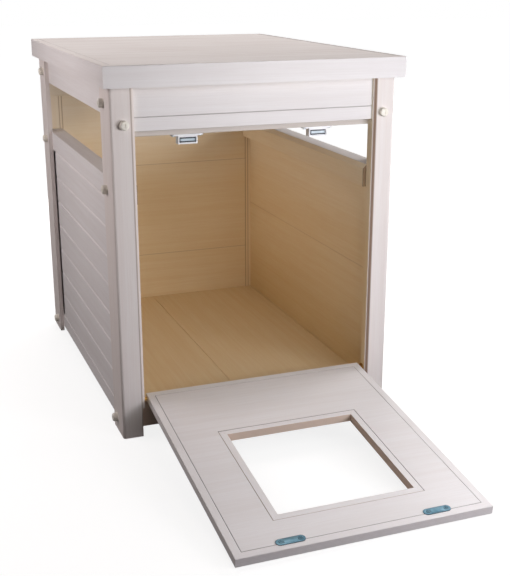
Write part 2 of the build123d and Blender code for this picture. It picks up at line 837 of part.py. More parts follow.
with BuildPart() as strike_screws:
    with BuildSketch(plate_plane):
        with Locations(*strike_screw_places):
            RegularPolygon(strike_screw_head_diameter / 2, round_sides)
    extrude(amount=strike_thickness)
    with BuildSketch(plate_plane):
        with Locations(*strike_screw_places):
            RegularPolygon(strike_screw_diameter / 2 - bush_clearance, round_sides)
    extrude(amount=-(strike_screw_length - glue_gap))
save(strike_screws.part, "strike_screws")

# Hinge pins, fast in the door and turning in the bushes
with BuildPart() as pins:
    pin_length = pin_in_door + door_side_gap + bush_length - glue_gap
    for side in SIDES.values():
        pin_start = side * (half_width - pin_in_door)
        with Locations(Location((pin_start, pivot_y, pivot_height), (0, 90 * side, 0))):
            Cylinder(pin_diameter / 2, pin_length, align=(Align.CENTER, Align.CENTER, Align.MIN))
save(pins.part, "hinge_pins")

print(f"door {door_width:.1f} x {door_length:.1f} mm, open at {degrees(slope):.3f} degrees below level")
print(f"pivot at y {pivot_y:.3f}, z {pivot_height:.3f}; posts from y {front_y:.3f} to {rear_y:.3f}")
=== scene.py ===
"""Looks of the litter box table: board finishes, small hardware, studio and camera."""
import json
from collections import namedtuple
from math import cos, pi, radians, sin

import bmesh
import bpy
from mathutils import Matrix, Vector


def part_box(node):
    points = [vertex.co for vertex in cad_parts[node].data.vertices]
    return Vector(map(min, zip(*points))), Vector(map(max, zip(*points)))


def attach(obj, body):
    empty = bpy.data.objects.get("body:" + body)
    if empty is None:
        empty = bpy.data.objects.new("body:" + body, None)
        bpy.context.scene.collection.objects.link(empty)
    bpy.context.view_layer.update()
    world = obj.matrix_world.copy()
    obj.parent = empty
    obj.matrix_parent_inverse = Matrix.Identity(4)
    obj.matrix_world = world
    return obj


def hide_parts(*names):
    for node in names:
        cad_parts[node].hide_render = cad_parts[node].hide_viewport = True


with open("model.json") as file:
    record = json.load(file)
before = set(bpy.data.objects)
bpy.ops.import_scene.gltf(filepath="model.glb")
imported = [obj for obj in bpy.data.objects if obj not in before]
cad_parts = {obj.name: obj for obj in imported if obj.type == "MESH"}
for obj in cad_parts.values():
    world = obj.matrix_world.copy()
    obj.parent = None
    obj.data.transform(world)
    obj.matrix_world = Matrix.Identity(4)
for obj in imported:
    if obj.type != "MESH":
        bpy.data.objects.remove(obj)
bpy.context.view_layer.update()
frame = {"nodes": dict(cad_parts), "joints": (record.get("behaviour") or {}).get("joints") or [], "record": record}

scene = bpy.context.scene
nodes = frame["nodes"]
node_slot = {part["node"]: part["material_slot"] for part in frame["record"]["subparts"]}
door_hinge = frame["joints"][0]
AXES = "XYZ"
X_AXIS, Y_AXIS, Z_AXIS = Vector((1, 0, 0)), Vector((0, 1, 0)), Vector((0, 0, 1))
SIDES = {"left": -1, "right": 1}
BOTH_WAYS = (-1, 1)

# Places of the cabinet and the door that the frame gives, in metres
half_span_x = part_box("post_front_right")[1].x
stile_inner_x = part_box("post_front_right")[0].x
front_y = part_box("post_front_left")[0].y
rear_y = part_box("post_rear_left")[1].y
sill_low, sill_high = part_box("left_sill_rail")
catch_low, catch_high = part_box("right_catch_housing")
magnet_low, magnet_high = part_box("catch_magnets")
pivot = Vector(door_hinge["pos_m"])

# The shut door stands upright, so the open one slopes by what its swing has past a quarter turn
door_tilt = radians(door_hinge["range_deg"][1] - 90)
to_hinge = Vector((0, cos(door_tilt), sin(door_tilt)))
door_up = Vector((0, -sin(door_tilt), cos(door_tilt)))
half_door_thickness = 0.00625

# Connecting bolts
side_bolt_inset = 0.040
top_rail_bolt_drop = 0.025
sill_bolt_drop = 0.014
bottom_rail_bolt_rise = 0.012
side_bolt_heights = (
    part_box("left_top_rail")[1].z - top_rail_bolt_drop,
    sill_high.z - sill_bolt_drop,
    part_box("left_bottom_rail")[0].z + bottom_rail_bolt_rise,
)
stile_bolt_inset = 0.0195
stile_bolt_drop = 0.007
stile_bolt_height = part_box("stop_rail")[1].z - stile_bolt_drop
bolt_head_radius = 0.00675
bolt_head_height = 0.0077
bolt_head_round = 0.0028
bolt_shank_radius = 0.0040
side_shank_length = 0.020
stile_shank_length = 0.031
bolt_slot_length = 0.0058
bolt_slot_width = 0.0026
bolt_slot_depth = 0.0010

# Strike plates, which lie in line with the catches
catch_x = (catch_low.x + catch_high.x) / 2
strike_reach = 0.392     # from the hinge along the door
strike_half_length = 0.020
strike_half_width = 0.006
strike_thickness = 0.0012
strike_rim_round = 0.0006
strike_pad_length = 0.0185
strike_pad_width = 0.0088
strike_pad_height = 0.0008
strike_pad_rise = 0.00025
strike_pad_round = 0.0002
strike_screw_offset = 0.013
strike_hole_gap = 0.0002

# Screws of the strike plates and the catches
screw_shank_radius = 0.00148
strike_screw_radius = 0.0027
strike_screw_round = 0.0005
strike_shank_length = 0.0078
catch_screw_radius = 0.0028
catch_screw_height = 0.0016
catch_screw_round = 0.0007
catch_shank_length = 0.0118
catch_screw_offset = 0.020
catch_screw_y = (catch_low.y + catch_high.y) / 2
catch_ear_thickness = 0.0024
catch_ear_bottom = catch_high.z - catch_ear_thickness
cross_half_length = 0.00175
cross_half_width = 0.0004
cross_depth = 0.0005

# Making of the round pieces
HEAD_SEGMENTS = 40
PLATE_SEGMENTS = 32
HOLE_SEGMENTS = 24
HEAD_STEPS = 4
PLATE_STEPS = 2
RECESS_DRAUGHT = 0.08    # share of its depth by which a recess narrows
LEVEL = 0.99             # cosine past which a face counts as level
TOUCH = 1e-6             # distance within which corners count as at one height
CUT_REACH = 1e-7         # distance within which a cut keeps to a corner
RIM_ANGLE = 1.0          # radians past which an edge of the plate is a rim
SHARP_ANGLE = radians(38)

# Eased edges of the boards, by slot
EASE = {"frame_board": 0.0006, "top_board": 0.0006, "door_board": 0.0004, "inner_board": 0.0004}
EASE_ANGLE = radians(40)
WELD_REACH = 0.00002

# Light
WORLD_STRENGTH = 0.02
FLOOR_BOUNCE = (0.045, 0.043, 0.042)
FLOOR_HALF_SIZE = 12.0
FLOOR_DROP = 0.0005

# Camera, fitted to corner points of the photograph
CAMERA_PLACE = (-0.52898, -1.48806, 0.68121)
CAMERA_TURN = radians(20.881)
CAMERA_DIP = radians(17.944)
CAMERA_LENS = 63.196
CAMERA_SHIFT = (-0.00657, 0.01795)
SENSOR_WIDTH = 36.0


# Materials
class Finish:
    """A material in the making, with short ways to add nodes to it and wire them."""

    def __init__(self, name):
        self.material = bpy.data.materials.new(name)
        self.material.use_nodes = True
        self.tree = self.material.node_tree
        self.shader = self.tree.nodes["Principled BSDF"]

    def add(self, kind, **settings):
        node = self.tree.nodes.new(kind)
        for key, value in settings.items():
            setattr(node, key, value)
        return node

    def wire(self, value, socket):
        """Give a socket a number, a colour triple or another node's output."""
        if isinstance(value, (int, float)):
            socket.default_value = value
        elif isinstance(value, tuple):
            socket.default_value = (*value, 1.0)
        else:
            self.tree.links.new(value, socket)

    def feed(self, socket, value):
        """Wire a value to one of the shader's own sockets."""
        self.wire(value, self.shader.inputs[socket])

    def place(self, scale=(1, 1, 1), turn=(0, 0, 0)):
        """Object coordinates, turned, and scaled to stretch a pattern along one axis."""
        coordinates = self.add("ShaderNodeTexCoord")
        mapping = self.add("ShaderNodeMapping")
        mapping.inputs["Scale"].default_value = scale
        mapping.inputs["Rotation"].default_value = turn
        self.wire(coordinates.outputs["Object"], mapping.inputs["Vector"])
        return mapping.outputs["Vector"]

    def split(self, vector):
        """The three outputs of a vector, by letter."""
        node = self.add("ShaderNodeSeparateXYZ")
        self.wire(vector, node.inputs["Vector"])
        return {letter: node.outputs[letter] for letter in AXES}

    def noise(self, vector, scale=1.0, detail=3.0, roughness=0.55, distortion=0.0):
        texture = self.add("ShaderNodeTexNoise")
        texture.inputs["Scale"].default_value = scale
        texture.inputs["Detail"].default_value = detail
        texture.inputs["Roughness"].default_value = roughness
        texture.inputs["Distortion"].default_value = distortion
        self.wire(vector, texture.inputs["Vector"])
        return texture.outputs["Fac"]

    def spread(self, value, low, high, new_low=0.0, new_high=1.0):
        """Map a range of a value to another range, held at both ends."""
        ranged = self.add("ShaderNodeMapRange")
        ranged.inputs["From Min"].default_value = low
        ranged.inputs["From Max"].default_value = high
        ranged.inputs["To Min"].default_value = new_low
        ranged.inputs["To Max"].default_value = new_high
        self.wire(value, ranged.inputs["Value"])
        return ranged.outputs["Result"]

    def math(self, operation, *values):
        node = self.add("ShaderNodeMath", operation=operation)
        for value, socket in zip(values, node.inputs):
            self.wire(value, socket)
        return node.outputs["Value"]

    def mix(self, factor, first, second):
        """Blend two colours, each a colour triple or an output."""
        node = self.add("ShaderNodeMix", data_type="RGBA")
        self.wire(factor, node.inputs["Factor"])
        self.wire(first, node.inputs["A"])
        self.wire(second, node.inputs["B"])
        return node.outputs["Result"]

    def facing(self, direction, low, high):
        """Share from 0 to 1 as a face turns from low to high cosine towards a direction, either way."""
        coordinates = self.add("ShaderNodeTexCoord")
        cosine = self.add("ShaderNodeVectorMath", operation="DOT_PRODUCT")
        self.wire(coordinates.outputs["Normal"], cosine.inputs[0])
        cosine.inputs[1].default_value = direction
        return self.spread(self.math("ABSOLUTE", cosine.outputs["Value"]), low, high)

    def bump(self, height, strength, distance):
        node = self.add("ShaderNodeBump")
        node.inputs["Strength"].default_value = strength
        node.inputs["Distance"].default_value = distance
        self.wire(height, node.inputs["Height"])
        self.feed("Normal", node.outputs["Normal"])


def colour(red, green, blue):
    """Linear colour from the 0 to 255 values of a colour chart."""
    def linear(value):
        share = value / 255
        return share / 12.92 if share <= 0.04045 else ((share + 0.055) / 1.055) ** 2.4
    return (linear(red), linear(green), linear(blue))


def stretched(axis, along, across):
    """Pattern scale that draws a noise out along one axis."""
    return tuple(along if letter == axis else across for letter in AXES)


Tint = namedtuple("Tint", "ground streak")
TINTS = {
    "frame_board": Tint(colour(236, 234, 234), colour(227, 223, 222)),
    "post_board": Tint(colour(236, 231, 228), colour(227, 218, 213)),
    "top_board": Tint(colour(234, 228, 225), colour(216, 205, 200)),
    "door_board": Tint(colour(236, 234, 234), colour(227, 222, 220)),
    # inner_board: partly the boards' own warmer inner tone and partly painted warm bounce light and shade
    "inner_board": Tint(colour(239, 219, 183), colour(230, 203, 158)),
    # upper_inner_board: painted light, the paler tone the inner faces turn to higher up
    "upper_inner_board": Tint(colour(245, 237, 219), colour(238, 226, 202)),
    # Painted shade: the front bottom rail under the door, and the stop rail recessed behind the header
    "painted_shade_front_rail": Tint(colour(216, 198, 184), colour(203, 181, 164)),
    "painted_shade_stop_rail": Tint(colour(208, 202, 196), colour(198, 190, 183)),
}
# Dark joint lines between boards; the same tone draws the rear inner corner lines, partly joints and partly
# painted shade
JOINT_AND_CORNER_SHADE = colour(146, 112, 74)
# Painted shade in the header groove, in the gaps round the door, cut-out and top trims, and along the right lip of
# the top
PAINTED_GROOVE_SHADE = colour(104, 94, 88)
CUT_EDGE = colour(222, 202, 186)
# Painted shade on the inner bevels of the front stiles and at the front end of the sill
PAINTED_EDGE_SHADE = colour(114, 80, 46)
# Heights between which the inner faces turn paler upwards: painted light, where more light falls in through the
# openings
INNER_PAINTED_LIGHT_HEIGHTS = (0.26, 0.47)
# Share of a line's width over which it has its full tone, and how far a ring keeps off its trims
LINE_CORE = 0.4
RING_INSET = 0.0003

# Limits of the inner tone and painted shade: inside the thickness of the side walls and the back wall, or past the
# cabinet
WALL_LIMIT_X = 0.206
WALL_LIMIT_Y = 0.470
OUTSIDE = 1.0

Line = namedtuple("Line", "axis place half_width share tone", defaults=(PAINTED_GROOVE_SHADE,))
Ring = namedtuple("Ring", "centre half_size half_width share tone", defaults=(PAINTED_GROOVE_SHADE,))
Lining = namedtuple(
    "Lining", "name lines half_width near far top",
    defaults=((), WALL_LIMIT_X, -OUTSIDE, WALL_LIMIT_Y, OUTSIDE),
)


class BoardFinish(Finish):
    """Whitewashed wood composite with its grain along an axis."""

    def __init__(self, name, axis, turn):
        super().__init__(name)
        plain = self.place(turn=turn)
        long_streaks = self.place(stretched(axis, along=2.2, across=90.0), turn)
        fine_fibres = self.place(stretched(axis, along=16.0, across=620.0), turn)
        self.streaks = self.noise(long_streaks, detail=5.0, roughness=0.62, distortion=0.5)
        self.fibres = self.noise(fine_fibres, roughness=0.6)
        mottle = self.noise(plain, scale=7.0, roughness=0.5)
        self.shares = (
            self.spread(self.streaks, low=0.42, high=0.78, new_high=0.75),
            self.spread(self.fibres, low=0.45, high=0.75, new_high=0.55),
            self.spread(mottle, low=0.35, high=0.7, new_high=0.3),
        )
        self.places = self.split(plain)
        self.places["across"] = self.math("ABSOLUTE", self.places["X"])

    def tinted(self, kind):
        """Pale ground with streaks, fibres and mottling over it."""
        tint = TINTS[kind].ground
        for share in self.shares:
            tint = self.mix(share, tint, TINTS[kind].streak)
        return tint

    def distance(self, mark):
        """Distance from a line, or from the sides of a ring's rectangle."""
        if isinstance(mark, Line):
            offset = self.math("SUBTRACT", self.places[mark.axis], mark.place)
            return self.math("ABSOLUTE", offset)
        sides = []
        for letter, middle, half in zip("XY", mark.centre, mark.half_size):
            offset = self.math("ABSOLUTE", self.math("SUBTRACT", self.places[letter], middle))
            sides.append(self.math("SUBTRACT", offset, half))
        return self.math("ABSOLUTE", self.math("MAXIMUM", *sides))

    def marked(self, tint, marks):
        """Draw lines, and rings round a rectangle, over a tint: dark joint lines, and painted shade lines in
        grooves, gaps, corners and on edges turned from the light.
        """
        for mark in marks:
            core = LINE_CORE * mark.half_width
            share = self.spread(self.distance(mark), core, mark.half_width, mark.share, 0.0)
            tint = self.mix(share, tint, mark.tone)
        return tint

    def lined(self, tint, inner_tone_and_shade):
        """Warmer tone of the inner faces within its limits: partly the boards' own tone and partly painted warm
        bounce light and shade, paler higher up as painted light.
        """
        limits = (
            ("across", "LESS_THAN", inner_tone_and_shade.half_width),
            ("Y", "GREATER_THAN", inner_tone_and_shade.near),
            ("Y", "LESS_THAN", inner_tone_and_shade.far),
            ("Z", "LESS_THAN", inner_tone_and_shade.top),
        )
        within, *others = [self.math(test, self.places[axis], limit) for axis, test, limit in limits]
        for share in others:
            within = self.math("MULTIPLY", within, share)
        painted_light = self.spread(self.places["Z"], *INNER_PAINTED_LIGHT_HEIGHTS)
        inner = self.mix(painted_light, self.tinted("inner_board"), self.tinted("upper_inner_board"))
        return self.mix(within, tint, self.marked(inner, inner_tone_and_shade.lines))


def plastic_finish(name, tint, shade, roughness):
    """Moulded plastic with a faint orange-peel skin and small changes of tint."""
    finish = Finish(name)
    cloud = finish.noise(finish.place(), scale=60.0)
    finish.feed("Base Color", finish.mix(finish.spread(cloud, 0.35, 0.7), tint, shade))
    finish.feed("Roughness", finish.spread(cloud, 0.3, 0.7, roughness - 0.05, roughness + 0.07))
    finish.feed("Specular IOR Level", 0.5)
    skin = finish.noise(finish.place(), scale=1400.0, detail=2.0)
    finish.bump(skin, strength=0.12, distance=0.0002)
    return finish.material


def drawn_lines(finish):
    """Fine lines of drawn or rolled metal, along X."""
    return finish.noise(finish.place(stretched("X", along=60.0, across=1800.0)))


def metal_finish(name, tint, shade, roughness):
    """Plated metal with fine drawn lines."""
    finish = Finish(name)
    lines = drawn_lines(finish)
    cloud = finish.noise(finish.place(), scale=90.0)
    blend = finish.math("MULTIPLY", finish.math("ADD", lines, cloud), 0.5)
    finish.feed("Base Color", finish.mix(finish.spread(blend, 0.35, 0.68), tint, shade))
    finish.feed("Roughness", finish.spread(blend, 0.3, 0.7, roughness - 0.08, roughness + 0.1))
    finish.feed("Metallic", 1.0)
    finish.bump(lines, strength=0.15, distance=0.0002)
    return finish.material


def plate_finish(name, tint, shade, rim):
    """Zinc plate, with painted shade on the rims and pressed edges that turn away from its face."""
    finish = Finish(name)
    lines = drawn_lines(finish)
    cloud = finish.noise(finish.place(), scale=90.0)
    face = finish.mix(finish.spread(cloud, 0.35, 0.68), tint, shade)
    # rim is a painted shade colour, mixed in where a face turns away from the plate's face
    finish.feed("Base Color", finish.mix(finish.facing(door_up, 0.97, 0.75), face, rim))
    finish.feed("Roughness", finish.spread(lines, 0.3, 0.7, 0.4, 0.56))
    finish.feed("Metallic", 1.0)
    finish.bump(lines, strength=0.15, distance=0.0002)
    return finish.material


def magnet_finish(name, tint, shade, edge):
    """Plated block magnet, with painted shade in bands along its upper and lower edges, where the gaps by the pole
    plates lie.
    """
    finish = Finish(name)
    middle = (magnet_low.z + magnet_high.z) / 2
    half = (magnet_high.z - magnet_low.z) / 2
    shade_start, shade_full = half - 0.0011, half - 0.0006
    heights = finish.split(finish.place())["Z"]
    distance = finish.math("ABSOLUTE", finish.math("SUBTRACT", heights, middle))
    cloud = finish.noise(finish.place(), scale=60.0)
    face = finish.mix(finish.spread(cloud, 0.35, 0.7), tint, shade)
    # edge is a painted shade colour for the gaps by the pole plates
    finish.feed("Base Color", finish.mix(finish.spread(distance, shade_start, shade_full), face, edge))
    finish.feed("Roughness", finish.spread(cloud, 0.3, 0.7, 0.3, 0.42))
    return finish.material


HARDWARE = {
    "bolt_plastic": plastic_finish(
        "cream_bolt_plastic", colour(238, 235, 225), colour(227, 222, 208), roughness=0.42,
    ),
    "catch_plastic": plastic_finish(
        "white_catch_plastic", colour(236, 237, 239), colour(222, 225, 229), roughness=0.4,
    ),
    # The magnet's edge colour is painted shade
    "magnet": magnet_finish(
        "plated_magnet", colour(190, 205, 213), colour(166, 187, 198), edge=colour(50, 53, 58),
    ),
    "steel": metal_finish("dull_steel", colour(186, 194, 200), colour(142, 152, 160), roughness=0.42),
    # The rim colour of the zinc plates is painted shade
    "zinc": plate_finish("blue_zinc", colour(104, 135, 148), colour(77, 108, 123), rim=colour(44, 62, 72)),
    "brass": metal_finish("turned_brass", colour(186, 148, 84), colour(150, 112, 56), roughness=0.38),
}
# Steel of the pole plates, darkened to nearly black as painted shade for the gaps above and below the magnet
POLE_STEEL_PAINTED_SHADE = metal_finish("pole_steel_painted_shade", colour(56, 59, 64), colour(38, 41, 46), roughness=0.5)


def set_material(piece, material):
    piece.data.materials.clear()
    piece.data.materials.append(material)


# Boards: grain along each board, joint lines, painted shade lines, the warmer inner tone with painted bounce light
# and shade, and eased edges
def extent(board, direction):
    """Lowest and highest place of a node along a direction."""
    places = [vert.co.dot(direction) for vert in nodes[board].data.vertices]
    return min(places), max(places)


def trim_ring(trims, direction, inside, half_width, share):
    """Painted shade line in the gap along the inner or outer edges of four trims: low and high on a direction,
    left and right.
    """
    low_trim, high_trim, left_trim, right_trim = trims
    first, last, inset = (1, 0, RING_INSET) if inside else (0, 1, -RING_INSET)
    low = extent(low_trim, direction)[first] + inset
    high = extent(high_trim, direction)[last] - inset
    left = extent(left_trim, X_AXIS)[first] + inset
    right = extent(right_trim, X_AXIS)[last] - inset
    centre = ((left + right) / 2, (low + high) / 2)
    half_size = ((right - left) / 2, (high - low) / 2)
    return Ring(centre, half_size, half_width, share)


def seams(boards, share):
    """Lines along the lower edges of some boards, where they meet the boards below."""
    return [Line("Z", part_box(board)[0].z, half_width=0.0010, share=share, tone=JOINT_AND_CORNER_SHADE) for board in boards]


def stile_line(offset, half_width, share, tone):
    """Upright line at an offset outwards from the inner edges of the stiles."""
    return Line("across", stile_inner_x + offset, half_width, share, tone)


DOOR_EDGES = ("free", "hinge", "left", "right")
TOP_EDGES = ("front", "rear", "left", "right")
door_trims = [f"door_trim_{edge}" for edge in DOOR_EDGES]
cutout_trims = [f"cutout_trim_{edge}" for edge in DOOR_EDGES]
top_trims = [f"top_trim_{edge}" for edge in TOP_EDGES]

# Inner tone and painted shade: how far it reaches, and the lines on it. On the walls it is partly the boards' own
# warmer tone and partly painted warm bounce light and shade; on the inner sides of the front stiles it is painted
# shade.
front_post_skin = 0.0021
sill_skin = 0.0005
top_rail_limit_x = 0.1894
side_seams = seams(("left_upper_board", "left_sill_rail"), share=0.22)
back_seams = seams(("back_middle_board", "back_upper_board"), share=0.34)
# Lines at the rear inner corners: partly the joint of wall and post, partly painted shade in the corner
back_joint_and_shade_line = stile_line(0.0, half_width=0.0012, share=0.5, tone=JOINT_AND_CORNER_SHADE)
post_joint_and_shade_lines = [stile_line(offset, half_width=0.0012, share=0.5, tone=JOINT_AND_CORNER_SHADE) for offset in (0.0002, 0.0055)]
# Painted shade at the sill's front end, in the gap by the stile
sill_end_shade = Line("Y", sill_low.y, half_width=0.0026, share=0.8, tone=PAINTED_EDGE_SHADE)
side_inner_tone_and_shade = Lining("side", side_seams)
back_inner_tone_and_shade = Lining("back", [*back_seams, back_joint_and_shade_line])
rear_post_inner_tone_and_shade = Lining("rear_post", post_joint_and_shade_lines)
front_post_inner_tone_and_shade = Lining("front_post", near=front_y + front_post_skin)
sill_inner_tone_and_shade = Lining("sill", [sill_end_shade], top=sill_high.z - sill_skin)
rail_inner_tone_and_shade = Lining("rail", half_width=top_rail_limit_x)
whole_inner_tone_and_shade = Lining("whole", half_width=OUTSIDE, far=OUTSIDE)

# Painted shade lines on the outer faces: in the header groove, in the gaps round the door, cut-out and top trims,
# along the right lip of the top and on the inner bevels of the front stiles
header_groove_drop = 0.043
header_groove_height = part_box("header_board")[1].z - header_groove_drop
# Band of painted shade along the right lip of the top, which turns away from the light
lip_shade_inset = 0.0045
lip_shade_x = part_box("top_trim_right")[1].x - lip_shade_inset
FACE_SHADE_LINES = {
    "header_board": [Line("Z", header_groove_height, half_width=0.0009, share=0.35)],
    "door_panel": [
        trim_ring(door_trims, to_hinge, inside=True, half_width=0.0010, share=0.65),
        trim_ring(cutout_trims, to_hinge, inside=False, half_width=0.0010, share=0.65),
    ],
    "top_panel": [trim_ring(top_trims, Y_AXIS, inside=True, half_width=0.0012, share=0.3)],
    "top_trim_right": [Line("X", lip_shade_x, half_width=0.0085, share=0.42)],
    # Painted shade on the inner bevels of the front stiles, deepest on the right one, whose bevel turns from the
    # light
    "post_front_left": [
        stile_line(0.0044, half_width=0.0016, share=0.5, tone=PAINTED_EDGE_SHADE),
        stile_line(0.0020, half_width=0.0024, share=0.10, tone=PAINTED_EDGE_SHADE),
    ],
    "post_front_right": [stile_line(0.0032, half_width=0.0034, share=0.85, tone=PAINTED_EDGE_SHADE)],
}
CROSS_GRAIN = ("top_panel", "door_panel")


def grain_axis(board):
    """Grain runs along a board's longest side, and across the two wide panels."""
    if board in CROSS_GRAIN:
        return "X"
    low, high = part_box(board)
    size = high - low
    return AXES[max(range(3), key=lambda index: size[index])]


def inner_tone_and_shade_of(board):
    """Limits within which a wall board, rail or post has the warmer inner tone with painted bounce light and
    shade.
    """
    if board == "rear_tie_rail":
        return whole_inner_tone_and_shade
    if board.startswith("post_front"):
        return front_post_inner_tone_and_shade
    if board.startswith("post_rear"):
        return rear_post_inner_tone_and_shade
    if board.startswith("back_"):
        return back_inner_tone_and_shade
    if board.endswith("_sill_rail"):
        return sill_inner_tone_and_shade
    if board.endswith("_top_rail"):
        return rail_inner_tone_and_shade
    if board.startswith(tuple(SIDES)):
        return side_inner_tone_and_shade
    return None


def board_finish(board, kind):
    """Finish of one board, shared by the boards with the same tint, grain, inner tone and shade, and lines.

    Inside the limits of its inner tone and shade the board has the warmer tone of the inner faces, partly its
    own and partly painted bounce light and shade. The faces of a cut edge, which stand square to the door,
    are a little darker and warmer. The edge trims of the top are lipped: their upper faces have the tint of the
    top.
    """
    axis = grain_axis(board)
    inner_tone_and_shade = inner_tone_and_shade_of(board)
    lines = FACE_SHADE_LINES.get(board, [])
    cut = board in cutout_trims
    lipped = board in top_trims
    name = f"{kind}_grain_{axis.lower()}"
    if inner_tone_and_shade:
        name += f"_lined_{inner_tone_and_shade.name}"
    if lines:
        name += f"_{board}"
    if cut:
        name += "_cut"
    if lipped:
        name += "_lipped"
    if name in bpy.data.materials:
        return bpy.data.materials[name]
    finish = BoardFinish(name, axis, turn=(-door_tilt, 0, 0) if kind == "door_board" else (0, 0, 0))
    tint = finish.marked(finish.tinted(kind), lines)
    if inner_tone_and_shade:
        tint = finish.lined(tint, inner_tone_and_shade)
    if cut:
        tint = finish.mix(finish.facing(door_up, 0.6, 0.2), tint, CUT_EDGE)
    if lipped:
        upper = finish.marked(finish.tinted("top_board"), lines)
        tint = finish.mix(finish.facing(Z_AXIS, 0.4, 0.8), tint, upper)
    finish.feed("Base Color", tint)
    finish.feed("Roughness", finish.spread(finish.streaks, 0.3, 0.8, 0.6, 0.72))
    finish.feed("Specular IOR Level", 0.12)
    relief = finish.math("ADD", finish.fibres, finish.math("MULTIPLY", finish.streaks, 0.6))
    finish.bump(relief, strength=0.22, distance=0.0004)
    return finish.material


def ease_edges(piece, width):
    """Join the node's loose triangles and round its sharp edges a little."""
    weld = piece.modifiers.new("weld", "WELD")
    weld.merge_threshold = WELD_REACH
    bevel = piece.modifiers.new("eased_edges", "BEVEL")
    bevel.width = width
    bevel.segments = 2
    bevel.limit_method = "ANGLE"
    bevel.angle_limit = EASE_ANGLE
    bevel.profile = 0.5
    bevel.use_clamp_overlap = True
    bevel.harden_normals = True


OWN_TINT = {
    # The front bottom rail and the stop rail have painted shade tints
    "front_bottom_rail": "painted_shade_front_rail",
    "stop_rail": "painted_shade_stop_rail",
    **{trim: "frame_board" for trim in top_trims},
    **{name: "post_board" for name in nodes if name.startswith("post_")},
}
OWN_HARDWARE = {"catch_pole_plates": POLE_STEEL_PAINTED_SHADE}
for name, node in nodes.items():
    slot = node_slot[name]
    if slot in HARDWARE:
        set_material(node, OWN_HARDWARE.get(name, HARDWARE[slot]))
    else:
        set_material(node, board_finish(name, OWN_TINT.get(name, slot)))
        ease_edges(node, EASE[slot])


# Small hardware, modelled round where the nodes are few-sided
def push_out(shape, faces, distance):
    """Extrude faces along Z."""
    pushed = bmesh.ops.extrude_face_region(shape, geom=faces)["geom"]
    corners = [item for item in pushed if isinstance(item, bmesh.types.BMVert)]
    bmesh.ops.translate(shape, vec=(0, 0, distance), verts=corners)


def round_off(shape, edges, width, segments):
    bmesh.ops.bevel(
        shape, geom=edges, offset=width, offset_type="OFFSET", affect="EDGES",
        segments=segments, profile=0.5, material=-1, clamp_overlap=True,
    )


def flat_top(shape, height):
    """Faces that lie level at a height."""
    return [
        face for face in shape.faces
        if face.normal.z > LEVEL and face.calc_center_median().z > height - TOUCH
    ]


def cut_recess(shape, height, spans, depth):
    """Sink the union of some centred rectangles, given as half sizes, into the flat top."""
    for axis, normal in enumerate((X_AXIS, Y_AXIS)):
        for reach in sorted({way * span[axis] for span in spans for way in BOTH_WAYS}):
            top = flat_top(shape, height)
            edges = {edge for face in top for edge in face.edges}
            corners = {vert for face in top for vert in face.verts}
            bmesh.ops.bisect_plane(
                shape, geom=[*top, *edges, *corners], dist=CUT_REACH,
                plane_co=reach * normal + height * Z_AXIS, plane_no=normal,
            )
    sunk = []
    for face in flat_top(shape, height):
        middle = face.calc_center_median()
        if any(abs(middle.x) < span[0] and abs(middle.y) < span[1] for span in spans):
            sunk.append(face)
    draught = RECESS_DRAUGHT * depth
    bmesh.ops.inset_region(shape, faces=sunk, thickness=draught, depth=-depth, use_even_offset=True)


def turned_head(radius, height, crown, shank_radius, shank_length):
    """Round head along +Z on a shank, with an eased crown."""
    shape = bmesh.new()
    bmesh.ops.create_circle(shape, cap_ends=True, segments=HEAD_SEGMENTS, radius=radius)
    push_out(shape, shape.faces[:], height)
    bmesh.ops.recalc_face_normals(shape, faces=shape.faces)
    rim = [edge for edge in shape.edges if all(vert.co.z > height - TOUCH for vert in edge.verts)]
    round_off(shape, rim, crown, HEAD_STEPS)
    under = [face for face in shape.faces if face.normal.z < -LEVEL]
    bmesh.ops.inset_region(shape, faces=under, thickness=radius - shank_radius, depth=0.0)
    push_out(shape, under, -shank_length)
    shape.normal_update()
    return shape


def slotted_bolt(shank_length):
    """Plastic connecting bolt with a straight slot in its round head."""
    shape = turned_head(
        bolt_head_radius, bolt_head_height, bolt_head_round, bolt_shank_radius, shank_length,
    )
    cut_recess(shape, bolt_head_height, [(bolt_slot_width / 2, bolt_slot_length / 2)], bolt_slot_depth)
    return shape


def cross_screw(radius, height, crown, shank_length):
    """Screw with a cross in its head."""
    shape = turned_head(radius, height, crown, screw_shank_radius, shank_length)
    cross = [(cross_half_length, cross_half_width), (cross_half_width, cross_half_length)]
    cut_recess(shape, height, cross, cross_depth)
    return shape


